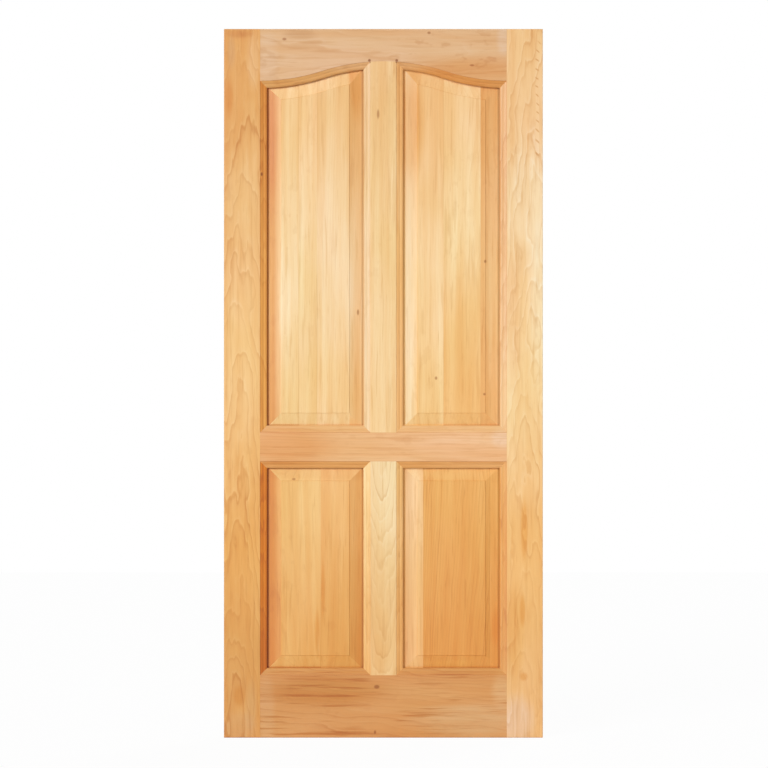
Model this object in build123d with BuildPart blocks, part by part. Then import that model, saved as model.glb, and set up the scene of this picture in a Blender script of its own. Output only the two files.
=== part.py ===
from build123d import *
from math import cos, pi, radians, sin, sqrt
import os

os.makedirs("parts", exist_ok=True)

# A panelled front door leaf in solid softwood. Width runs along X, thickness along Y with the outside
# face towards -Y, and height along Z from the bottom edge. All sizes are in millimetres.

# Leaf
leaf_width = 914.4
leaf_height = 2032.0
leaf_thickness = 44.45
edge_round = 1.5  # rounding of the leaf's upright corners
end_chamfer = 1.0  # chamfer round the leaf's top and bottom ends

# Flat faces of the frame, as seen from the front
stile_face = 103.5
mullion_face = 74.5
bottom_rail_face = 179.0
lock_rail_bottom = 792.4
lock_rail_face = 82.6
top_rail_face = 148.6  # depth of the top rail's face where the arch springs from the stiles
arch_rise = 56.0

# Moulding worked on every inner edge of the frame, and the groove in it that holds the panels
moulding_width = 20.0
quirk = 1.5  # small step down from the face
ovolo_width = 10.0
ovolo_depth = 5.2  # depth of the outer curve's foot below the face
fillet_width = 3.0  # nearly flat strip between the two curves
fillet_fall = 0.3
toe_depth = 9.5  # depth of the inner curve's foot below the face
curve_ease = 1.2  # radius of both curves, over that of a curve with one end level with the face
groove_width = 12.7
groove_depth = 11.0

# Raised panels
tongue_side_play = 0.2  # play between tongue and groove on each side
tongue_flat = 12.6  # flat part of the tongue before the bevel
bevel_reach = 47.0  # from the panel's edge to its raised field
field_thickness = 28.6
field_step = 1.6
field_step_run = 1.1
field_arris = 0.4
stile_gap = 4.5  # room for the panel to swell, at each upright edge
top_gap = 0.5

# Mortise and tenon joints, as thick as the groove
stile_tenon_length = 85.0  # from the stile's moulded edge
mullion_tenon_length = 40.0  # from the rail's moulded edge
tenon_margin = 8.0  # from the rail's or mullion's face edge to its tenon
haunch = 38.0  # from the leaf's top or bottom end to the nearest tenon
bottom_tenon_height = 54.0  # the bottom rail has two tenons at each end
mortise_end_room = 1.5

# Widths of the boards glued into each panel, from left to right. None takes what is left.
upper_left_boards = [96.8, 53.0, None]
upper_right_boards = [None, 106.3, 61.0]
lower_left_boards = [None, 129.0]
lower_right_boards = [63.3, None, 34.3]

# Derived sizes
half_thickness = leaf_thickness / 2
half_width = leaf_width / 2
opening_half = half_width - stile_face  # stile face edge, from the middle of the leaf
mullion_edge = mullion_face / 2
lock_rail_top = lock_rail_bottom + lock_rail_face
arch_spring = leaf_height - top_rail_face
arch_crown = arch_spring + arch_rise
arch_radius = (opening_half**2 + arch_rise**2) / (4 * arch_rise)
arch_angle = 2 * 180 / pi * (arch_rise / opening_half - (arch_rise / opening_half) ** 3 / 3
                             + (arch_rise / opening_half) ** 5 / 5)
groove_floor = moulding_width - groove_depth  # measured from the face edge, like the moulding
tongue_half = groove_width / 2 - tongue_side_play
field_half = field_thickness / 2

overrun = 5.0
setback = 2.0  # each blank stops this short of the face edge, inside its moulded strip


def eased_radius(width, depth):
    # Above 1, the ease keeps the curve falling all the way
    return curve_ease * (width**2 + depth**2) / (2 * depth)


def moulding_outline():
    # Half of the moulding's section: X runs from the face edge into the opening, Y is the thickness
    face = -half_thickness
    foot = (ovolo_width, face + ovolo_depth)
    shelf = (ovolo_width + fillet_width, face + ovolo_depth + fillet_fall)
    toe = (moulding_width, face + toe_depth)
    nose = (moulding_width, -groove_width / 2)
    with BuildLine() as outline:
        Polyline((groove_floor, 0), (-overrun, 0), (-overrun, face), (0, face), (0, face + quirk))
        RadiusArc((0, face + quirk), foot, -eased_radius(ovolo_width, ovolo_depth - quirk))
        Line(foot, shelf)
        RadiusArc(shelf, toe, -eased_radius(toe[0] - shelf[0], toe[1] - shelf[1]))
        Polyline(toe, nose, (groove_floor, -groove_width / 2), (groove_floor, 0))
    return outline.line


def moulding_section(plane):
    with BuildSketch(plane) as section:
        make_face(moulding_outline())
        mirror(about=Plane.XZ)
    return section.sketch


def bevel_section(plane):
    # Section of the cutter that raises a panel: X runs inwards from the panel's edge
    bevel_top = field_half - field_step
    with BuildSketch(plane) as section:
        with BuildLine():
            Polyline(
                (-overrun, tongue_half),
                (tongue_flat, tongue_half),
                (bevel_reach - field_step_run, bevel_top),
                (bevel_reach, field_half - field_arris),
                (bevel_reach + field_arris, field_half),
                (bevel_reach + field_arris, field_half + overrun),
                (-overrun, field_half + overrun),
                close=True,
            )
        make_face()
        mirror(about=Plane.XZ)
    return section.sketch


def edge_plane(x, z, into, along):
    # Plane across an edge of the frame: its X points into the opening, its normal runs along the edge
    return Plane(origin=(x, 0, z), x_dir=into, z_dir=along)


def arch_line(offset):
    # The arch's S-curve, moved into the opening by the offset, from left stile to right stile
    with BuildLine() as line:
        CenterArc((-opening_half, arch_spring + arch_radius), arch_radius + offset, 270, arch_angle)
        CenterArc((0, arch_crown - arch_radius), arch_radius - offset, 90 + arch_angle, -2 * arch_angle)
        CenterArc((opening_half, arch_spring + arch_radius), arch_radius + offset,
                  270 - arch_angle, arch_angle)
    return line.line


def follow_arch(section_on, offset):
    # Turns a section round the arch's three curves. The offset is where the section's zero lies.
    tilt = radians(arch_angle)
    crown_centre = (0, 0, arch_crown - arch_radius)
    crown_start = edge_plane(
        -(arch_radius - offset) * sin(tilt),
        arch_crown - arch_radius + (arch_radius - offset) * cos(tilt),
        (sin(tilt), 0, -cos(tilt)),
        (cos(tilt), 0, sin(tilt)),
    )
    with BuildPart() as run:
        revolve(section_on(crown_start), Axis(crown_centre, (0, 1, 0)), 2 * arch_angle)
        for side in (-1, 1):
            centre = (side * opening_half, 0, arch_spring + arch_radius)
            start = edge_plane(side * opening_half, arch_spring - offset, (0, 0, -1), (side, 0, 0))
            revolve(section_on(start), Axis(centre, (0, side, 0)), arch_angle)
    return run.part


def save(piece, name):
    piece.part.label = name
    export_step(piece.part, "parts/" + name + ".step")


# The whole leaf's outline with its eased corners; every frame piece is trimmed to it
with BuildPart() as leaf_outline:
    Box(leaf_width, leaf_thickness, leaf_height, align=(Align.CENTER, Align.CENTER, Align.MIN))
    fillet(leaf_outline.edges().filter_by(Axis.Z), edge_round)
    chamfer(leaf_outline.faces().filter_by(Axis.Z).edges(), end_chamfer)

# Tenons and mortises. The heights are those of each rail's tenons at the stiles.
lock_rail_middle = (lock_rail_bottom + lock_rail_top) / 2
low_tenon, high_tenon = haunch, bottom_rail_face - tenon_margin - bottom_tenon_height
stile_tenons = {
    "top_rail": [(arch_spring + tenon_margin, leaf_height - haunch)],
    "lock_rail": [(lock_rail_bottom + tenon_margin, lock_rail_top - tenon_margin)],
    "bottom_rail": [(z, z + bottom_tenon_height) for z in (low_tenon, high_tenon)],
}
# Face edges of the rails that the mullions meet, and which way each mullion's tenon points
mullion_joints = {
    "top_rail": [(arch_crown, 1)],
    "lock_rail": [(lock_rail_top, -1), (lock_rail_bottom, 1)],
    "bottom_rail": [(bottom_rail_face, -1)],
}


def stile_joint_blocks(heights, end_room):
    # Blocks that run from inside a rail's end into both stiles
    inner = opening_half - 2 * moulding_width
    outer = opening_half - moulding_width + stile_tenon_length + end_room
    for side in (-1, 1):
        for low, high in heights:
            with Locations((side * (inner + outer) / 2, 0, (low + high) / 2)):
                Box(outer - inner, groove_width, high - low)


def mullion_joint_block(face_edge, up, end_room):
    # Block that runs from inside a mullion's end into the rail
    inner = face_edge - up * 2 * moulding_width
    outer = face_edge + up * (mullion_tenon_length - moulding_width + end_room)
    with Locations((0, 0, (inner + outer) / 2)):
        Box(mullion_face - 2 * tenon_margin, groove_width, abs(outer - inner))


with BuildPart() as stile_mortises:
    for heights in stile_tenons.values():
        stile_joint_blocks(heights, mortise_end_room)

with BuildPart() as mullion_mortises:
    for joints in mullion_joints.values():
        for face_edge, up in joints:
            mullion_joint_block(face_edge, up, mortise_end_room)


# Stiles
def make_stile(side):
    with BuildPart() as stile:
        with BuildSketch(Plane.XY):
            with Locations((side * (half_width + opening_half + setback) / 2, 0)):
                Rectangle(stile_face - setback, leaf_thickness)
        extrude(amount=leaf_height)
        extrude(moulding_section(edge_plane(side * opening_half, 0, (-side, 0, 0), (0, 0, 1))),
                amount=leaf_height)
        add(leaf_outline.part, mode=Mode.INTERSECT)
        add(stile_mortises.part, mode=Mode.SUBTRACT)
    return stile


left_stile = make_stile(-1)
right_stile = make_stile(1)
save(left_stile, "left_stile")
save(right_stile, "right_stile")


# Rails. Each is coped over the stiles' moulding, and tenoned into their grooves and mortises.
def finish_rail(name):
    add(leaf_outline.part, mode=Mode.INTERSECT)
    add(left_stile.part, mode=Mode.SUBTRACT)
    add(right_stile.part, mode=Mode.SUBTRACT)
    stile_joint_blocks(stile_tenons[name], 0)
    add(mullion_mortises.part, mode=Mode.SUBTRACT)


with BuildPart() as top_rail:
    with BuildSketch(Plane.XZ):
        with BuildLine():
            add(arch_line(-setback))
            Polyline((opening_half, arch_spring + setback), (opening_half, leaf_height),
                     (-opening_half, leaf_height), (-opening_half, arch_spring + setback))
        make_face()
    extrude(amount=half_thickness, both=True)
    add(follow_arch(moulding_section, 0))
    finish_rail("top_rail")
save(top_rail, "top_rail")

with BuildPart() as lock_rail:
    with Locations((0, 0, (lock_rail_bottom + lock_rail_top) / 2)):
        Box(2 * opening_half, leaf_thickness, lock_rail_face - 2 * setback)
    for z, up in ((lock_rail_top, 1), (lock_rail_bottom, -1)):
        extrude(moulding_section(edge_plane(-opening_half, z, (0, 0, up), (1, 0, 0))),
                amount=2 * opening_half)
    finish_rail("lock_rail")
save(lock_rail, "lock_rail")

with BuildPart() as bottom_rail:
    Box(2 * opening_half, leaf_thickness, bottom_rail_face - setback,
        align=(Align.CENTER, Align.CENTER, Align.MIN))
    extrude(moulding_section(edge_plane(-opening_half, bottom_rail_face, (0, 0, 1), (1, 0, 0))),
            amount=2 * opening_half)
    finish_rail("bottom_rail")
save(bottom_rail, "bottom_rail")


# Mullions, coped and tenoned into the rails in the same way
def make_mullion(z_low, z_high, rails):
    with BuildPart() as mullion:
        with Locations((0, 0, z_low)):
            Box(mullion_face - 2 * setback, leaf_thickness, z_high - z_low,
                align=(Align.CENTER, Align.CENTER, Align.MIN))
        for side in (-1, 1):
            extrude(moulding_section(edge_plane(side * mullion_edge, z_low, (side, 0, 0), (0, 0, 1))),
                    amount=z_high - z_low)
        for rail in rails:
            add(rail.part, mode=Mode.SUBTRACT)
        mullion_joint_block(z_low, -1, 0)
        mullion_joint_block(z_high, 1, 0)
    return mullion


upper_mullion = make_mullion(lock_rail_top, arch_crown, (lock_rail, top_rail))
lower_mullion = make_mullion(bottom_rail_face, lock_rail_bottom, (bottom_rail, lock_rail))
save(upper_mullion, "upper_mullion")
save(lower_mullion, "lower_mullion")


# Raised panels, each glued up from upright boards
def make_panel(side, z_low, z_high):
    # z_high is None for a panel whose top follows the arch
    outer = opening_half - groove_floor - stile_gap
    inner = mullion_edge + groove_floor + stile_gap
    x_low, x_high = min(side * outer, side * inner), max(side * outer, side * inner)
    z_top = arch_crown if z_high is None else z_high
    z_mid, length = (z_low + z_top) / 2, z_top - z_low + 4 * overrun
    with BuildPart() as panel:
        with BuildSketch(Plane.XZ):
            if z_high is None:
                with BuildLine():
                    arch = add(arch_line(groove_floor + top_gap))
                    low = arch_spring - groove_floor - top_gap
                    Polyline((opening_half, low), (opening_half, z_low), (-opening_half, z_low),
                             (-opening_half, low))
                make_face()
            with Locations(((x_low + x_high) / 2, (z_low + z_top) / 2)):
                Rectangle(x_high - x_low, z_top - z_low,
                          mode=Mode.INTERSECT if z_high is None else Mode.ADD)
        extrude(amount=field_half, both=True)
        for x, inward in ((x_low, 1), (x_high, -1)):
            extrude(bevel_section(edge_plane(x, z_mid, (inward, 0, 0), (0, 0, 1))),
                    amount=length / 2, both=True, mode=Mode.SUBTRACT)
        x_mid = (x_low + x_high) / 2
        extrude(bevel_section(edge_plane(x_mid, z_low, (0, 0, 1), (1, 0, 0))),
                amount=x_high - x_low, both=True, mode=Mode.SUBTRACT)
        if z_high is None:
            add(follow_arch(bevel_section, groove_floor + top_gap), mode=Mode.SUBTRACT)
        else:
            extrude(bevel_section(edge_plane(x_mid, z_high, (0, 0, -1), (1, 0, 0))),
                    amount=x_high - x_low, both=True, mode=Mode.SUBTRACT)
    return panel, x_low, x_high


def save_boards(name, panel, x_low, x_high, widths):
    rest = x_high - x_low - sum(width for width in widths if width)
    start = x_low
    for number, width in enumerate([width or rest for width in widths], 1):
        with BuildPart() as board:
            add(panel.part)
            with Locations((start + width / 2, 0, leaf_height / 2)):
                Box(width, leaf_thickness, leaf_height, mode=Mode.INTERSECT)
        save(board, name + "_board_" + str(number))
        start += width


upper_low = lock_rail_top + groove_floor
lower_low = bottom_rail_face + groove_floor
lower_high = lock_rail_bottom - groove_floor - top_gap
save_boards("upper_left", *make_panel(-1, upper_low, None), upper_left_boards)
save_boards("upper_right", *make_panel(1, upper_low, None), upper_right_boards)
save_boards("lower_left", *make_panel(-1, lower_low, lower_high), lower_left_boards)
save_boards("lower_right", *make_panel(1, lower_low, lower_high), lower_right_boards)
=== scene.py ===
import math

import bpy
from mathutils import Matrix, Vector


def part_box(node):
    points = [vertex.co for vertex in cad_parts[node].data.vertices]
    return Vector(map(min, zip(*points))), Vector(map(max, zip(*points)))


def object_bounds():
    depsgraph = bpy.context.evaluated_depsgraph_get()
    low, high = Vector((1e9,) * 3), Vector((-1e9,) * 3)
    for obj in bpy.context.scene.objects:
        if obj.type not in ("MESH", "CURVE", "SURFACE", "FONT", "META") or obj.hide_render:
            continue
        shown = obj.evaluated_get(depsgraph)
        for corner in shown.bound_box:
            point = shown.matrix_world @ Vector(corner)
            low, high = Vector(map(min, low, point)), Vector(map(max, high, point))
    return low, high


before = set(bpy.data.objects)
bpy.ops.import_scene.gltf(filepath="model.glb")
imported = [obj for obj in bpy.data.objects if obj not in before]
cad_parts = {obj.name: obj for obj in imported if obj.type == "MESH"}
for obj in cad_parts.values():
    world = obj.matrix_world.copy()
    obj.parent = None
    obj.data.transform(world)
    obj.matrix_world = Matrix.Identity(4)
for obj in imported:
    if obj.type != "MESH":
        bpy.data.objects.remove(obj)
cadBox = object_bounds()
xAxis, yAxis, zAxis = 0, 1, 2  # across the door, through it and up it
print("door leaf loaded:", len(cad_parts), "boards")


def srgb(red, green, blue):
    # Colour as seen, 0 to 255, to the linear values that Blender's sockets take
    linear = []
    for part in (red / 255, green / 255, blue / 255):
        linear.append(part / 12.92 if part <= 0.04045 else ((part + 0.055) / 1.055) ** 2.4)
    return (*linear, 1.0)


# Small helpers that keep the node set-ups below readable
def place(tree, kind, values=(), **settings):
    node = tree.nodes.new(kind)
    for key, value in settings.items():
        setattr(node, key, value)
    for socket, value in dict(values).items():
        if isinstance(value, bpy.types.NodeSocket):
            tree.links.new(value, node.inputs[socket])
        else:
            node.inputs[socket].default_value = value
    return node


def maths(tree, operation, first, second=0.0):
    return place(tree, "ShaderNodeMath", {0: first, 1: second}, operation=operation).outputs[0]


def vectorMaths(tree, operation, first, second):
    return place(tree, "ShaderNodeVectorMath", {0: first, 1: second}, operation=operation).outputs[0]


def product(tree, first, *others):
    for other in others:
        first = maths(tree, "MULTIPLY", first, other)
    return first


def gapTo(tree, value, target):
    return maths(tree, "ABSOLUTE", maths(tree, "SUBTRACT", value, target))


def remap(tree, value, low, high, newLow=0.0, newHigh=1.0, smooth=True):
    values = {"Value": value, "From Min": low, "From Max": high, "To Min": newLow, "To Max": newHigh}
    kind = "SMOOTHSTEP" if smooth else "LINEAR"
    return place(tree, "ShaderNodeMapRange", values, interpolation_type=kind).outputs["Result"]


def blendColour(tree, amount, first, second, way="MIX"):
    return place(tree, "ShaderNodeMix", {0: amount, 6: first, 7: second},
                 data_type="RGBA", blend_type=way).outputs[2]


def tinted(tree, colour, amount, tint):
    return blendColour(tree, amount, colour, (*tint, 1.0), "MULTIPLY")


# The noises that a sawn board's grain is made of. A small stretch draws one out along the board, and
# where levels are given, it starts to show at the first and is full at the second.
grainNoises = {
    "wave": {"stretch": 0.22, "scale": 7.0, "detail": 3.0, "rough": 0.5},
    "ripple": {"stretch": 0.26, "scale": 19.0, "detail": 3.0, "rough": 0.45},
    "streak": {"stretch": 0.045, "scale": 34.0, "detail": 4.0, "rough": 0.55},
    "fibre": {"stretch": 0.03, "scale": 620.0, "detail": 3.0, "rough": 0.7},
    "cloud": {"stretch": 0.45, "scale": 5.0, "detail": 3.0, "rough": 0.5},
    "haze": {"stretch": 0.4, "scale": 8.5, "detail": 2.0, "rough": 0.5},
    "ringPatch": {"stretch": 0.4, "scale": 9.0, "detail": 2.0, "rough": 0.5, "levels": (0.35, 0.62)},
    "curl": {"stretch": 0.55, "scale": 48.0, "detail": 2.0, "rough": 0.5, "levels": (0.55, 0.68)},
    "curlPatch": {"stretch": 0.5, "scale": 6.0, "detail": 1.0, "rough": 0.5, "levels": (0.48, 0.66)},
    "vein": {"stretch": 0.05, "scale": 120.0, "detail": 2.0, "rough": 0.5, "levels": (0.55, 0.68)},
    "veinPatch": {"stretch": 0.4, "scale": 14.0, "detail": 1.0, "rough": 0.5, "levels": (0.30, 0.50)},
    "fleck": {"stretch": 0.05, "scale": 330.0, "detail": 1.0, "rough": 0.5, "levels": (0.68, 0.76)},
}
growthRings = {
    "profile": ((0.45, 0.05), (0.74, 0.32), (0.88, 1.0), (0.94, 0.85)),  # how dark, by share of a ring
    "faintest": 0.2,  # the faintest ring, where the strongest is 1
    "fadedShare": 0.45,  # what is left of a ring where it fades along the board
    "rimWidth": 0.22,  # share of a ring that is pale, just past the dark edge
    "bandScale": 60.0,
    "bandDetail": 2.0,
}


# Growth rings of a sawn board. The rings stand round a pith line that leans a little from the board,
# so a face cut far from the pith gets straight lines, and one near it gets pointed arches.
def makeGrainGroup():
    group = bpy.data.node_groups.new("sawnBoard", "ShaderNodeTree")
    for name, kind in (("Along Grain", "NodeSocketVector"), ("Pith", "NodeSocketVector"),
                       ("Lean", "NodeSocketVector"), ("Seed", "NodeSocketVector"),
                       ("Ring Width", "NodeSocketFloat"), ("Waver", "NodeSocketFloat"),
                       ("Ripple", "NodeSocketFloat")):
        group.interface.new_socket(name=name, in_out="INPUT", socket_type=kind)
    given = group.nodes.new("NodeGroupInput").outputs
    moved = vectorMaths(group, "ADD", given["Along Grain"], given["Seed"])

    def layer(name):
        settings = grainNoises[name]
        values = {"Vector": vectorMaths(group, "MULTIPLY", moved, (1.0, 1.0, settings["stretch"])),
                  "Scale": settings["scale"], "Detail": settings["detail"], "Roughness": settings["rough"]}
        return place(group, "ShaderNodeTexNoise", values).outputs["Fac"]

    def shown(name, least=0.0):
        return remap(group, layer(name), *grainNoises[name]["levels"], least, 1.0)

    def swayed(name, amount):
        return product(group, maths(group, "SUBTRACT", layer(name), 0.5), amount)

    # How far a point lies from the pith, and how many rings that is
    spot = place(group, "ShaderNodeSeparateXYZ", {0: given["Along Grain"]}).outputs
    pith = place(group, "ShaderNodeSeparateXYZ", {0: given["Pith"]}).outputs
    lean = place(group, "ShaderNodeSeparateXYZ", {0: given["Lean"]}).outputs
    square = 0.0
    for axis in (xAxis, yAxis):
        drift = product(group, spot[zAxis], lean[axis])
        away = maths(group, "SUBTRACT", maths(group, "SUBTRACT", spot[axis], pith[axis]), drift)
        square = maths(group, "ADD", product(group, away, away), square)
    radius = maths(group, "ADD", maths(group, "SQRT", square), swayed("wave", given["Waver"]))
    radius = maths(group, "ADD", radius, swayed("ripple", given["Ripple"]))
    count = maths(group, "DIVIDE", radius, given["Ring Width"])
    share = maths(group, "FRACT", count)

    ramp = place(group, "ShaderNodeValToRGB", {0: share})
    for end in ramp.color_ramp.elements:
        end.color = (0.0, 0.0, 0.0, 1.0)
    for position, late in growthRings["profile"]:
        ramp.color_ramp.elements.new(position).color = (late, late, late, 1.0)
    season = place(group, "ShaderNodeTexWhiteNoise", {"W": maths(group, "FLOOR", count)},
                   noise_dimensions="1D").outputs["Value"]
    strength = remap(group, season, 0.0, 1.0, growthRings["faintest"], 1.0, smooth=False)
    ringPatch = shown("ringPatch", growthRings["fadedShare"])
    rim = remap(group, share, growthRings["rimWidth"], 0.0)
    bands = {"W": radius, "Scale": growthRings["bandScale"], "Detail": growthRings["bandDetail"]}
    outputs = {
        "Late Wood": product(group, ramp.outputs["Color"], strength, ringPatch),
        "Rim": product(group, rim, ringPatch),
        "Band": place(group, "ShaderNodeTexNoise", bands, noise_dimensions="1D").outputs["Fac"],
        "Streak": layer("streak"),
        "Fibre": layer("fibre"),
        "Cloud": layer("cloud"),
        "Haze": layer("haze"),
        "Curl": product(group, shown("curl"), shown("curlPatch")),
        "Vein": product(group, shown("vein"), shown("veinPatch")),
        "Fleck": shown("fleck"),
    }
    for name in outputs:
        group.interface.new_socket(name=name, in_out="OUTPUT", socket_type="NodeSocketFloat")
    result = group.nodes.new("NodeGroupOutput")
    for name, value in outputs.items():
        group.links.new(value, result.inputs[name])
    return group


grainGroup = makeGrainGroup()

# How the clear-coated softwood looks, unless a board has its own value. A tint multiplies the board's
# colour, and the strengths say how much of each tint shows.
softwood = {
    "lateTint": (0.77, 0.59, 0.38),
    "warmTint": (0.94, 0.82, 0.66),
    "goldTint": (0.95, 0.92, 0.76),
    "paleTint": (1.04, 1.09, 1.24),
    "veinTint": (0.78, 0.60, 0.36),
    "curlTint": (0.80, 0.64, 0.46),
    "rimTint": (1.02, 1.08, 1.22),
    "jointTint": (0.84, 0.72, 0.56),
    # painted shade: the crevice tint, and the crevice strength, reach, levels and samples below, darken
    # corners and grooves
    "creviceShadeTint": (0.66, 0.32, 0.07),
    "rings": 0.26,
    "bands": 0.40,
    "streaks": 0.80,
    "clouds": 0.80,
    "haze": 0.80,
    "curls": 0.20,
    "veins": 0.30,
    "fibres": 0.14,
    "flecks": 0.30,
    "creviceShade": 0.45,
    "creviceReach": 0.007,  # metres
    "creviceLevels": (0.85, 0.45),  # how open a spot is where the tint starts and where it is full
    "creviceSamples": 12,
    "jointLine": (0.0011, 0.0003),  # half the hairline's width, where it fades out and where it is full
    "jointBreaks": (0.4, 0.6),  # levels of the cloud noise where the hairline is gone and where it is full
    "waver": 0.014,  # metres that the rings wander in long waves
    "ripple": 0.008,  # and in short ones
    "roughness": (0.36, 0.52),
    "coat": 0.12,
    "coatRoughness": 0.28,
    "bumpHeight": 0.00022,
    "bumpStrength": 0.5,
    "ringRelief": 0.35,  # how much the late wood stands out beside the fibres
}

# Places on the leaf, in metres. The widths and heights are of the faces between the mouldings.
leaf = {
    "stileWidth": 0.1035,
    "bottomRailTop": 0.179,
    "lockRailFoot": 0.7924,
    "lockRailTop": 0.875,
    "lockRailTint": 0.83,  # where the mouldings' painted light and shade changes from the lower panels' to the upper
    "topRailAtPeak": 0.0926,
    "archSpring": 1.915,  # where the top rail's moulding changes its painted light and shade
}
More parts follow.
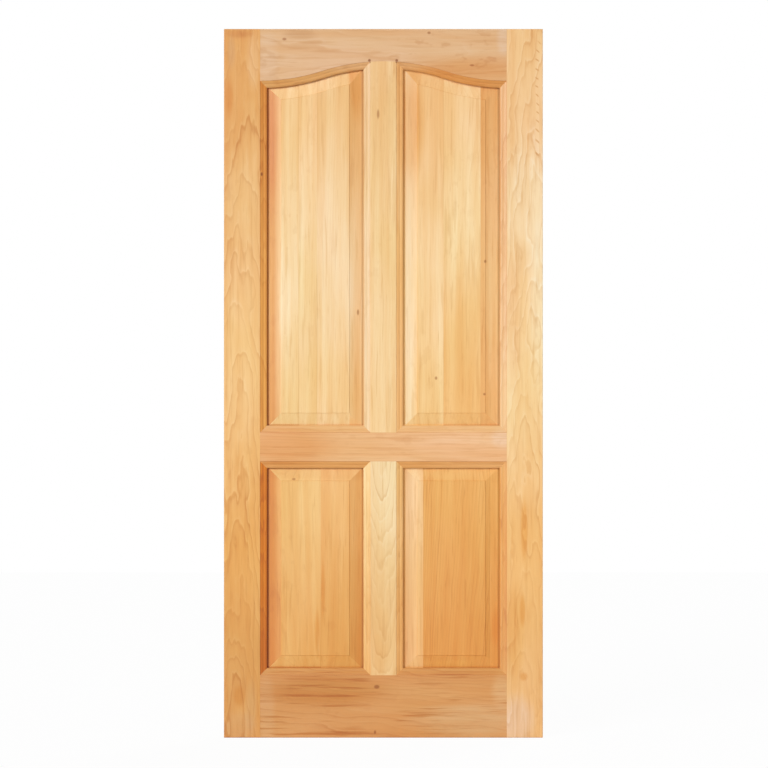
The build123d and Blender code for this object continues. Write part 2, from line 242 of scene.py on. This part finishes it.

# One entry for each board.
# tones: its colour at up to four heights in metres, lowest first; partly the wood's own tone and partly
# painted light and shade, as most boards are palest near the middle of the leaf's height and darker
# towards its top and foot
# pith, lean: where the tree's heart lay, across and behind the board, and its lean for each metre
# level: the grain runs across the door, and the pith's first distance is its height
# ringWidth, seed: metres for each growth ring, and a number that picks another figure
# rings, bands, curls, veins, ripple, and the strength and tint of the painted shade in corners and
# grooves: used here in place of softwood's own
# the moulding's painted light and shade: an axis, a place on it, and the moulding's tint before and after
# that place
# the tints of a panel's bevel, painted light and shade and partly the wood's own tone, and of the narrow
# flat beside the moulding, painted shade; with bevelFrom the bevel's tint starts at that distance across
# and runs straight up into the arch
# patches: soft-edged ovals, each across, up, half its width, half its height and its tint; the
# smallest ones are knots
# ticks: columns of short strokes, each across, foot, head and the strokes' spacing
boards = {
    "left_stile": {
        "tones": ((0.15, (217, 161, 89)), (0.55, (234, 181, 106)), (1.05, (243, 203, 143)),
                  (1.85, (228, 173, 105))),
        "pith": (-0.425, 0.12), "lean": (0.012, 0.040), "ringWidth": 0.0056, "ripple": 0.026, "seed": 1,
        "rings": 0.9, "creviceShade": 0.8,
        "moulding": (zAxis, leaf["lockRailTint"], (0.90, 0.50, 0.08), (0.98, 0.73, 0.37)),
        "patches": ((-0.443, 1.834, 0.013, 0.055, (0.93, 0.78, 0.58)),
                    (-0.372, 1.943, 0.018, 0.080, (1.06, 1.22, 1.75)),
                    (-0.436, 1.965, 0.012, 0.050, (0.95, 1.02, 1.30)),
                    (-0.410, 1.560, 0.050, 0.120, (1.03, 1.10, 1.22)),
                    (-0.378, 0.090, 0.016, 0.080, (0.98, 1.10, 1.45)),
                    (-0.410, 0.030, 0.050, 0.040, (0.98, 1.04, 1.30)),
                    (-0.415, 2.018, 0.040, 0.012, (0.90, 0.80, 0.72)),
                    (-0.349, 1.616, 0.003, 0.006, (0.40, 0.24, 0.12)),
                    (-0.413, 0.120, 0.016, 0.030, (0.92, 0.80, 0.58))),
    },
    "right_stile": {
        "tones": ((0.15, (234, 191, 134)), (0.55, (238, 192, 123)), (1.05, (248, 221, 174)),
                  (1.85, (239, 199, 145))),
        "pith": (0.395, 0.105), "lean": (0.024, 0.032), "ringWidth": 0.0060, "ripple": 0.030, "seed": 2,
        "rings": 0.8,
        "moulding": (zAxis, leaf["lockRailTint"], (0.81, 0.63, 0.39), (0.85, 0.74, 0.67)),
        "patches": ((0.410, 1.530, 0.060, 0.170, (1.05, 1.20, 1.48)),
                    (0.445, 1.230, 0.022, 0.220, (1.02, 1.12, 1.30)),
                    (0.372, 1.180, 0.022, 0.200, (0.96, 0.88, 0.82)),
                    (0.378, 0.290, 0.028, 0.140, (0.95, 0.86, 0.66)),
                    (0.385, 0.050, 0.050, 0.070, (0.96, 1.06, 1.50)),
                    (0.404, 0.600, 0.010, 0.085, (0.92, 0.76, 0.50)),
                    (0.399, 0.365, 0.008, 0.045, (0.90, 0.74, 0.50)),
                    (0.403, 0.175, 0.012, 0.012, (0.92, 0.78, 0.56))),
        "ticks": ((0.443, 1.64, 2.01, 0.028),),
    },
    "top_rail": {
        "tones": ((1.90, (223, 184, 142)),),
        "pith": (1.96, 0.16), "lean": (0.01, 0.03), "ringWidth": 0.0070, "ripple": 0.018, "seed": 3,
        "level": True, "rings": 0.4, "curls": 0.5, "creviceShade": 0.3,
        "moulding": (zAxis, leaf["archSpring"], (0.97, 0.77, 0.40), (1.0, 0.88, 0.64)),
        "patches": ((0.250, 1.905, 0.170, 0.050, (0.95, 0.78, 0.54)),
                    (-0.331, 1.943, 0.028, 0.085, (1.02, 1.08, 1.22)),
                    (-0.240, 2.018, 0.050, 0.016, (0.88, 0.82, 0.74)),
                    (0.345, 2.000, 0.020, 0.040, (1.03, 1.15, 1.45)),
                    (-0.284, 2.003, 0.006, 0.004, (0.62, 0.46, 0.34)),
                    (0.131, 2.021, 0.005, 0.004, (0.62, 0.48, 0.36)),
                    (-0.040, 1.942, 0.004, 0.004, (0.42, 0.26, 0.14)),
                    (0.038, 1.942, 0.004, 0.004, (0.42, 0.26, 0.14)),
                    (0.254, 1.928, 0.007, 0.003, (0.66, 0.48, 0.34))),
    },
    "lock_rail": {
        "tones": ((0.83, (235, 189, 141)),),
        "pith": (0.70, 0.12), "lean": (0.012, 0.02), "ringWidth": 0.0070, "ripple": 0.014, "seed": 4,
        "level": True, "rings": 0.5,
        "moulding": (zAxis, leaf["lockRailTint"], (0.92, 0.79, 0.50), (0.98, 1.0, 0.90)),
        "patches": ((-0.270, 0.834, 0.140, 0.060, (0.93, 0.78, 0.58)),
                    (0.340, 0.860, 0.030, 0.030, (1.02, 1.12, 1.35))),
    },
    "bottom_rail": {
        "tones": ((0.09, (211, 155, 94)),),
        "pith": (-0.02, 0.12), "lean": (-0.05, 0.02), "ringWidth": 0.0080, "ripple": 0.026, "seed": 5,
        "level": True, "rings": 0.6, "veins": 0.9,
        "moulding": (zAxis, leaf["lockRailTint"], (0.96, 0.90, 0.69), (1.0, 1.0, 1.0)),
        "patches": ((-0.170, 0.135, 0.170, 0.045, (0.88, 0.76, 0.50)),
                    (0.240, 0.045, 0.160, 0.055, (1.02, 1.22, 1.70)),
                    (-0.335, 0.080, 0.024, 0.100, (1.02, 1.12, 1.40)),
                    (0.340, 0.140, 0.030, 0.050, (1.05, 1.22, 1.60)),
                    (-0.019, 0.146, 0.007, 0.005, (0.60, 0.44, 0.28)),
                    (-0.024, 0.016, 0.004, 0.006, (0.60, 0.44, 0.28))),
    },
    "upper_mullion": {
        "tones": ((1.00, (244, 212, 160)), (1.45, (242, 210, 156)), (1.85, (237, 199, 144))),
        "pith": (0.11, 0.06), "lean": (0.004, 0.015), "ringWidth": 0.0060, "ripple": 0.018, "seed": 6,
        "bands": 0.35, "creviceShade": 0.6, "creviceShadeTint": (1.04, 0.98, 0.80),
        "moulding": (xAxis, 0.0, (0.89, 0.90, 0.98), (1.06, 0.91, 0.75)),
        "patches": ((-0.015, 1.788, 0.004, 0.014, (0.62, 0.48, 0.36)),
                    (-0.040, 1.938, 0.004, 0.004, (0.42, 0.26, 0.14)),
                    (0.038, 1.938, 0.004, 0.004, (0.42, 0.26, 0.14))),
    },
    "lower_mullion": {
        "tones": ((0.25, (234, 197, 140)), (0.70, (244, 221, 178))),
        "pith": (0.004, 0.105), "lean": (-0.01, -0.055), "ringWidth": 0.0044, "ripple": 0.019, "seed": 7,
        "rings": 0.65, "creviceShade": 0.6, "creviceShadeTint": (1.04, 0.90, 0.60),
        "moulding": (xAxis, 0.0, (0.96, 0.88, 0.70), (1.02, 0.82, 0.57)),
    },
    "upper_left_board_1": {
        "tones": ((0.95, (244, 213, 158)), (1.30, (249, 227, 182)), (1.85, (243, 207, 152))),
        "pith": (-0.40, 0.05), "lean": (0.01, 0.01), "ringWidth": 0.0050, "seed": 8, "creviceShade": 1.0,
        "bevelShading": (0.76, 0.46, 0.18), "flatShadeTint": (0.66, 0.36, 0.10),
        "patches": ((-0.322, 1.690, 0.018, 0.170, (0.94, 0.78, 0.58)),),
    },
    "upper_left_board_2": {
        "tones": ((0.95, (243, 210, 153)), (1.30, (248, 224, 178)), (1.85, (243, 204, 148))),
        "pith": (-0.13, 0.05), "lean": (0.006, 0.01), "ringWidth": 0.0050, "seed": 9,
    },
    "upper_left_board_3": {
        "tones": ((0.95, (244, 210, 154)), (1.30, (247, 221, 177)), (1.85, (241, 203, 150))),
        "pith": (0.06, 0.10), "lean": (0.01, 0.02), "ringWidth": 0.0060, "seed": 10,
        "bevelShading": (0.97, 0.84, 0.70), "bevelFrom": -0.0975, "flatShadeTint": (0.68, 0.66, 0.60),
        "patches": ((-0.080, 1.880, 0.022, 0.110, (0.94, 0.80, 0.60)),
                    (-0.073, 1.220, 0.003, 0.008, (0.60, 0.46, 0.34))),
    },
    "upper_right_board_1": {
        "tones": ((0.95, (244, 209, 150)), (1.30, (246, 215, 163)), (1.85, (236, 189, 126))),
        "pith": (-0.02, 0.09), "lean": (0.012, 0.02), "ringWidth": 0.0055, "seed": 11,
        "creviceShade": 0.6, "creviceShadeTint": (1.04, 0.92, 0.62),
        "bevelShading": (0.92, 1.02, 1.22), "flatShadeTint": (1.03, 0.97, 0.78),
        "patches": ((0.151, 1.031, 0.004, 0.005, (0.58, 0.44, 0.32)),
                    (0.076, 1.750, 0.034, 0.150, (0.91, 0.76, 0.50)),
                    (0.080, 1.150, 0.016, 0.260, (1.02, 1.05, 1.12))),
    },
    "upper_right_board_2": {
        "tones": ((0.95, (241, 195, 128)), (1.18, (242, 202, 140)), (1.45, (247, 221, 172)),
                  (1.85, (245, 210, 160))),
        "pith": (0.37, 0.11), "lean": (-0.03, 0.03), "ringWidth": 0.0060, "ripple": 0.014, "seed": 12,
    },
    "upper_right_board_3": {
        "tones": ((0.95, (236, 184, 118)), (1.30, (238, 194, 134)), (1.85, (228, 172, 106))),
        "pith": (0.42, 0.05), "lean": (0.0, 0.012), "ringWidth": 0.0055, "seed": 13,
        "bevelShading": (1.10, 1.15, 1.28), "flatShadeTint": (0.68, 0.70, 0.66),
        "patches": ((0.292, 1.366, 0.004, 0.005, (0.60, 0.44, 0.30)),
                    (0.290, 0.985, 0.004, 0.004, (0.60, 0.44, 0.30))),
    },
    "lower_left_board_1": {
        "tones": ((0.22, (228, 174, 98)), (0.72, (240, 199, 133))),
        "pith": (-0.30, 0.07), "lean": (0.01, 0.03), "ringWidth": 0.0060, "seed": 14, "creviceShade": 1.0,
        "bevelShading": (0.78, 0.48, 0.15), "flatShadeTint": (0.64, 0.34, 0.09),
        "patches": ((-0.257, 0.741, 0.006, 0.004, (0.62, 0.48, 0.34)),
                    (-0.250, 0.757, 0.110, 0.020, (0.94, 0.89, 0.82)),
                    (-0.190, 0.300, 0.007, 0.060, (0.94, 0.82, 0.62)),
                    (-0.187, 0.270, 0.003, 0.030, (1.03, 1.12, 1.35))),
    },
    "lower_left_board_2": {
        "tones": ((0.22, (226, 170, 93)), (0.72, (238, 189, 122))),
        "pith": (0.04, 0.10), "lean": (0.02, 0.03), "ringWidth": 0.0060, "seed": 15,
        "bevelShading": (0.92, 0.80, 0.66), "flatShadeTint": (0.62, 0.52, 0.36),
        "patches": ((-0.120, 0.757, 0.090, 0.020, (0.94, 0.89, 0.82)),
                    (-0.173, 0.420, 0.006, 0.090, (0.93, 0.80, 0.60))),
    },
    "lower_right_board_1": {
        "tones": ((0.22, (236, 187, 122)), (0.72, (241, 203, 147))),
        "pith": (0.02, 0.05), "lean": (0.0, 0.01), "ringWidth": 0.0050, "seed": 16,
        "creviceShade": 0.6, "creviceShadeTint": (1.0, 0.86, 0.50),
        "bevelShading": (0.87, 0.83, 0.80), "flatShadeTint": (0.92, 0.78, 0.48),
    },
    "lower_right_board_2": {
        "tones": ((0.22, (223, 158, 77)), (0.72, (235, 181, 106))),
        "pith": (0.38, 0.11), "lean": (0.05, 0.03), "ringWidth": 0.0065, "ripple": 0.014, "seed": 17,
        "rings": 0.8,
        "patches": ((0.197, 0.211, 0.070, 0.012, (1.03, 1.07, 1.04)),
                    (0.197, 0.757, 0.090, 0.020, (1.0, 1.06, 1.16))),
    },
    "lower_right_board_3": {
        "tones": ((0.22, (232, 165, 82)), (0.72, (241, 187, 110))),
        "pith": (0.36, 0.05), "lean": (0.0, 0.01), "ringWidth": 0.0055, "seed": 18,
        "flatShadeTint": (0.63, 0.57, 0.33),
        "patches": ((0.322, 0.316, 0.013, 0.060, (0.96, 0.84, 0.68)),),
    },
}

# Where two boards meet flush on the face. The boards of a panel meet at their own sides.
innerEdge = cadBox[1][xAxis] - leaf["stileWidth"]
stileJoints = ((xAxis, -innerEdge), (xAxis, innerEdge))
frameJoints = {
    "top_rail": stileJoints,
    "lock_rail": (*stileJoints, (zAxis, leaf["lockRailTop"]), (zAxis, leaf["lockRailFoot"])),
    "bottom_rail": stileJoints,
    "upper_mullion": ((zAxis, cadBox[1][zAxis] - leaf["topRailAtPeak"]),),
    "lower_mullion": ((zAxis, leaf["bottomRailTop"]),),
}

# Where the shaped edges of a board are, for the painted light and shade on its mouldings, bevels and panel
# flats.
# Depths are in metres from the plane midway between the door's faces. Of each pair, the tint starts at the
# first value and is full at the second.
shaped = {
    "moulding": (0.0218, 0.0208),
    "leafEdges": ((xAxis, 0.37), (zAxis, 1.99)),  # beyond these lie the leaf's outer edges
    "tintBlend": 0.012,
    "flatDepth": 0.0072,
    "flatReach": (0.0132, 0.0112),  # from the panel's outer edge
    "bevelTop": (0.0134, 0.0130),
    "bevelFall": (0.0132, 0.0080),
    "bevelTopShare": 0.35,  # how much of the tint shows at the bevel's top
    "bevelSlope": (0.05, 0.12),  # how far the surface turns to the side
}
seedSteps = (3.7, 1.9, 2.3)  # each board's figure is taken this much further on in the noise
noiseLevels = (0.3, 0.7)  # nearly all of a noise lies between these

# The figure of the wood: a part of the grain, its strength, its tint, and whether it is a plain noise
figure = (
    ("Cloud", "clouds", "goldTint", True),
    ("Haze", "haze", "paleTint", True),
    ("Band", "bands", "warmTint", True),
    ("Streak", "streaks", "warmTint", True),
    ("Late Wood", "rings", "lateTint", False),
    ("Rim", "rings", "rimTint", False),
    ("Curl", "curls", "curlTint", False),
    ("Vein", "veins", "veinTint", False),
    ("Fibre", "fibres", "lateTint", True),
    ("Fleck", "flecks", "lateTint", False),
)


def growGrain(tree, where, spot, look):
    alongGrain = where
    if look.get("level"):
        turned = {0: spot[zAxis], 1: spot[yAxis], 2: spot[xAxis]}
        alongGrain = place(tree, "ShaderNodeCombineXYZ", turned).outputs[0]
    values = {"Along Grain": alongGrain, "Pith": (*look["pith"], 0.0), "Lean": (*look["lean"], 0.0),
              "Seed": [look["seed"] * step for step in seedSteps], "Ring Width": look["ringWidth"],
              "Waver": look["waver"], "Ripple": look["ripple"]}
    return place(tree, "ShaderNodeGroup", values, node_tree=grainGroup).outputs


# The board's colour up its height, which holds painted light and shade as well as the wood's own tone
def toneUpBoard(tree, spot, tones):
    if len(tones) == 1:
        return srgb(*tones[0][1])
    first, last = tones[0][0], tones[-1][0]
    ramp = place(tree, "ShaderNodeValToRGB", {0: remap(tree, spot[zAxis], first, last, smooth=False)})
    ramp.color_ramp.interpolation = "EASE"
    ramp.color_ramp.elements[0].color = srgb(*tones[0][1])
    ramp.color_ramp.elements[1].color = srgb(*tones[-1][1])
    for height, tone in tones[1:-1]:
        ramp.color_ramp.elements.new((height - first) / (last - first)).color = srgb(*tone)
    return ramp.outputs["Color"]


# Painted light and shade on a moulding: one tint before a place along an axis, and another after it
def paintMouldingShading(tree, colour, spot, moulding):
    axis, at, nearTint, farTint = moulding
    lowered = remap(tree, maths(tree, "ABSOLUTE", spot[yAxis]), *shaped["moulding"])
    for edgeAxis, limit in shaped["leafEdges"]:
        inside = maths(tree, "LESS_THAN", maths(tree, "ABSOLUTE", spot[edgeAxis]), limit)
        lowered = product(tree, lowered, inside)
    side = remap(tree, spot[axis], at - shaped["tintBlend"], at + shaped["tintBlend"])
    tint = blendColour(tree, side, (*nearTint, 1.0), (*farTint, 1.0))
    return blendColour(tree, lowered, colour, tint, "MULTIPLY")


# Painted shade: the moulding's shadow on the narrow flat of a panel beside it, at the panel's outer side
def paintFlatShade(tree, colour, spot, outerEdge, tint):
    low = maths(tree, "LESS_THAN", maths(tree, "ABSOLUTE", spot[yAxis]), shaped["flatDepth"])
    near = remap(tree, gapTo(tree, spot[xAxis], outerEdge), *shaped["flatReach"])
    return tinted(tree, colour, product(tree, low, near), tint)


# Painted light and shade on a panel's bevel, by which way it faces; the darker orange of the left panels'
# left bevels is partly the wood's own tone
def paintBevelShading(tree, colour, spot, outward, board):
    if "bevelFrom" in board:
        sloped = maths(tree, "GREATER_THAN", spot[xAxis], board["bevelFrom"])
    else:
        normal = place(tree, "ShaderNodeNewGeometry").outputs["Normal"]
        facing = place(tree, "ShaderNodeSeparateXYZ", {0: normal}).outputs[xAxis]
        sloped = remap(tree, product(tree, facing, outward), *shaped["bevelSlope"])
    depth = maths(tree, "ABSOLUTE", spot[yAxis])
    lowered = remap(tree, depth, *shaped["bevelTop"])
    deeper = remap(tree, depth, *shaped["bevelFall"], shaped["bevelTopShare"], 1.0)
    return tinted(tree, colour, product(tree, sloped, lowered, deeper), board["bevelShading"])


def addFigure(tree, colour, cut, look):
    for part, strength, tint, plain in figure:
        amount = remap(tree, cut[part], *noiseLevels) if plain else cut[part]
        colour = tinted(tree, colour, product(tree, amount, look[strength]), look[tint])
    return colour


# Stains, pale sapwood and small knots, and some wide, low ovals that make a bevel or the leaf's top edge
# darker, some paler. The grain frays their edges.
patchShape = {
    "cloudFray": 0.5,
    "streakFray": 0.6,
    "edge": (1.9, 1.0),  # distances, in half widths, where the tint starts and where it is full
}


def addPatches(tree, colour, where, cut, patches):
    ragged = maths(tree, "ADD", product(tree, cut["Cloud"], patchShape["cloudFray"]),
                   product(tree, cut["Streak"], patchShape["streakFray"]))
    for x, z, halfWidth, halfHeight, tint in patches:
        shift = vectorMaths(tree, "SUBTRACT", where, (x, 0.0, z))
        oval = vectorMaths(tree, "MULTIPLY", shift, (1 / halfWidth, 0.0, 1 / halfHeight))
        away = place(tree, "ShaderNodeVectorMath", {0: oval}, operation="LENGTH").outputs["Value"]
        covered = remap(tree, maths(tree, "ADD", away, ragged), *patchShape["edge"])
        colour = tinted(tree, colour, covered, tint)
    return colour


# Columns of short slanting ticks, where the fibres dip in and out of the face
tickShape = {
    "sway": 0.05,  # metres that the column wanders to the sides
    "uneven": 0.12,  # metres that the ticks are moved up and down
    "slant": 0.9,
    "stroke": (0.13, 0.04),  # share of the spacing, where a tick fades out and where it is full
    "halfWidth": (0.007, 0.002),
    "fade": 0.03,  # at the foot and the head of the column
}


def addTicks(tree, colour, spot, cut, ticks):
    for x, foot, head, spacing in ticks:
        sway = product(tree, maths(tree, "SUBTRACT", cut["Haze"], 0.5), tickShape["sway"])
        away = maths(tree, "ADD", maths(tree, "SUBTRACT", spot[xAxis], x), sway)
        climbing = maths(tree, "ADD", spot[zAxis], product(tree, away, tickShape["slant"]))
        uneven = maths(tree, "ADD", climbing, product(tree, cut["Cloud"], tickShape["uneven"]))
        beat = maths(tree, "FRACT", maths(tree, "DIVIDE", uneven, spacing))
        stroke = product(tree, remap(tree, gapTo(tree, beat, 0.5), *tickShape["stroke"]),
                         remap(tree, maths(tree, "ABSOLUTE", away), *tickShape["halfWidth"]),
                         remap(tree, spot[zAxis], foot, foot + tickShape["fade"]),
                         remap(tree, spot[zAxis], head, head - tickShape["fade"]))
        colour = tinted(tree, colour, stroke, softwood["curlTint"])
    return colour


# Hairline joints
def addJoints(tree, colour, spot, cut, joints):
    for axis, at in joints:
        line = remap(tree, gapTo(tree, spot[axis], at), *softwood["jointLine"])
        broken = remap(tree, cut["Cloud"], *softwood["jointBreaks"])
        colour = tinted(tree, colour, product(tree, line, broken), softwood["jointTint"])
    return colour


# Painted shade: corners and grooves that little light reaches are tinted, mostly darker and warmer, by how
# closed in each spot is
def paintCreviceShade(tree, colour, look):
    openness = place(tree, "ShaderNodeAmbientOcclusion", {"Distance": look["creviceReach"]},
                     samples=look["creviceSamples"]).outputs["AO"]
    amount = remap(tree, openness, *look["creviceLevels"], 0.0, look["creviceShade"])
    return tinted(tree, colour, amount, look["creviceShadeTint"])


def addVarnish(tree, colour, cut, look):
    height = maths(tree, "ADD", product(tree, cut["Late Wood"], look["ringRelief"]), cut["Fibre"])
    bump = place(tree, "ShaderNodeBump", {"Height": height, "Strength": look["bumpStrength"],
                                          "Distance": look["bumpHeight"]}).outputs[0]
    rough = remap(tree, cut["Fibre"], *noiseLevels, *look["roughness"], smooth=False)
    return place(tree, "ShaderNodeBsdfPrincipled", {
        "Base Color": colour, "Roughness": rough, "Normal": bump,
        "Coat Weight": look["coat"], "Coat Roughness": look["coatRoughness"]}).outputs[0]


def makeBoardWood(name, board):
    material = bpy.data.materials.new(name + "_wood")
    material.use_nodes = True
    tree = material.node_tree
    tree.nodes.clear()
    look = {**softwood, **board}
    where = place(tree, "ShaderNodeTexCoord").outputs["Object"]
    spot = place(tree, "ShaderNodeSeparateXYZ", {0: where}).outputs
    cut = growGrain(tree, where, spot, look)
    leftSide, rightSide = (corner[xAxis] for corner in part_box(name))
    outward = -1 if name.endswith("board_1") else 1  # a panel's first board has its left edge

    colour = toneUpBoard(tree, spot, board["tones"])
    if "moulding" in board:
        colour = paintMouldingShading(tree, colour, spot, board["moulding"])
    if "flatShadeTint" in board:
        outerEdge = leftSide if outward < 0 else rightSide
        colour = paintFlatShade(tree, colour, spot, outerEdge, board["flatShadeTint"])
    if "bevelShading" in board:
        colour = paintBevelShading(tree, colour, spot, outward, board)
    colour = addFigure(tree, colour, cut, look)
    colour = addPatches(tree, colour, where, cut, board.get("patches", ()))
    colour = addTicks(tree, colour, spot, cut, board.get("ticks", ()))
    boardSides = ((xAxis, leftSide), (xAxis, rightSide))
    colour = addJoints(tree, colour, spot, cut, frameJoints.get(name, boardSides))
    colour = paintCreviceShade(tree, colour, look)
    skin = addVarnish(tree, colour, cut, look)
    tree.links.new(skin, tree.nodes.new("ShaderNodeOutputMaterial").inputs[0])
    return material


for name, board in boards.items():
    wood = makeBoardWood(name, board)
    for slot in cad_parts[name].material_slots:
        slot.material = wood
print("wood made for", len(boards), "boards")

# Soft studio light from the upper left of the door, and a weaker one behind it. Each light is where
# it shines towards and how strongly.
studio = {
    "lights": {
        "windowLight": ((0.52, 0.76, -0.34), 2.4),
        "backLight": ((-0.45, -0.80, -0.30), 1.9),
    },
    "lightSoftness": 30,  # degrees across
    "roomLight": 0.325,
    "white": (1.0, 1.0, 1.0, 1.0),
    "floorSize": 14.0,
    "floorPaint": (0.86, 0.86, 0.86, 1.0),
    "floorGlow": 0.96,  # how much of the camera's view of the floor is plain white
}


def seenOrMirrored(tree):
    path = place(tree, "ShaderNodeLightPath").outputs
    gloss = maths(tree, "MAXIMUM", path["Is Glossy Ray"], path["Is Transmission Ray"])
    return maths(tree, "MAXIMUM", path["Is Camera Ray"], gloss)


def makeWorld():
    world = bpy.data.worlds.new("studioRoom")
    bpy.context.scene.world = world
    world.use_nodes = True
    tree = world.node_tree
    tree.nodes.clear()
    room = place(tree, "ShaderNodeBackground", {"Color": studio["white"], "Strength": studio["roomLight"]})
    backdrop = place(tree, "ShaderNodeBackground", {"Color": studio["white"], "Strength": 1.0})
    mix = place(tree, "ShaderNodeMixShader", {0: seenOrMirrored(tree), 1: room.outputs[0],
                                              2: backdrop.outputs[0]})
    tree.links.new(mix.outputs[0], tree.nodes.new("ShaderNodeOutputWorld").inputs[0])


def makeFloor():
    half = studio["floorSize"] / 2
    mesh = bpy.data.meshes.new("studioFloor")
    corners = [(-half, -half, 0), (half, -half, 0), (half, half, 0), (-half, half, 0)]
    mesh.from_pydata(corners, [], [(0, 1, 2, 3)])
    floor = bpy.data.objects.new("studioFloor", mesh)
    bpy.context.collection.objects.link(floor)
    material = bpy.data.materials.new("studioFloorPaint")
    material.use_nodes = True
    tree = material.node_tree
    tree.nodes.clear()
    paint = place(tree, "ShaderNodeBsdfDiffuse", {"Color": studio["floorPaint"]})
    glow = place(tree, "ShaderNodeEmission", {"Color": studio["white"], "Strength": 1.0})
    share = product(tree, seenOrMirrored(tree), studio["floorGlow"])
    mix = place(tree, "ShaderNodeMixShader", {0: share, 1: paint.outputs[0], 2: glow.outputs[0]})
    tree.links.new(mix.outputs[0], tree.nodes.new("ShaderNodeOutputMaterial").inputs[0])
    mesh.materials.append(material)


def makeLights():
    for name, (towards, strength) in studio["lights"].items():
        sun = bpy.data.objects.new(name, bpy.data.lights.new(name, "SUN"))
        bpy.context.collection.objects.link(sun)
        sun.data.energy = strength
        sun.data.angle = math.radians(studio["lightSoftness"])
        sun.rotation_mode = "QUATERNION"
        sun.rotation_quaternion = Vector(towards).to_track_quat("-Z", "Y")


makeWorld()
makeFloor()
makeLights()
bpy.context.scene.view_settings.view_transform = "Standard"
print("studio lit")

# The photograph was taken square on. Sizes are in metres.
photo = {
    "pixelsAcross": 768,
    "pixelSize": 0.002867,  # at the door's front face
    "lookAt": (0.0017, 1.0141),  # across and up
    "distance": 8.0,
    "sensorWidth": 36.0,  # millimetres
}


def makeCamera():
    camera = bpy.data.objects.new("doorCamera", bpy.data.cameras.new("doorCamera"))
    bpy.context.collection.objects.link(camera)
    frameWidth = photo["pixelsAcross"] * photo["pixelSize"]
    camera.data.sensor_width = photo["sensorWidth"]
    camera.data.lens = photo["sensorWidth"] * photo["distance"] / frameWidth
    x, z = photo["lookAt"]
    camera.location = (x, cadBox[0][yAxis] - photo["distance"], z)
    camera.rotation_euler = (math.radians(90), 0, 0)
    bpy.context.scene.camera = camera


makeCamera()
print("camera placed")
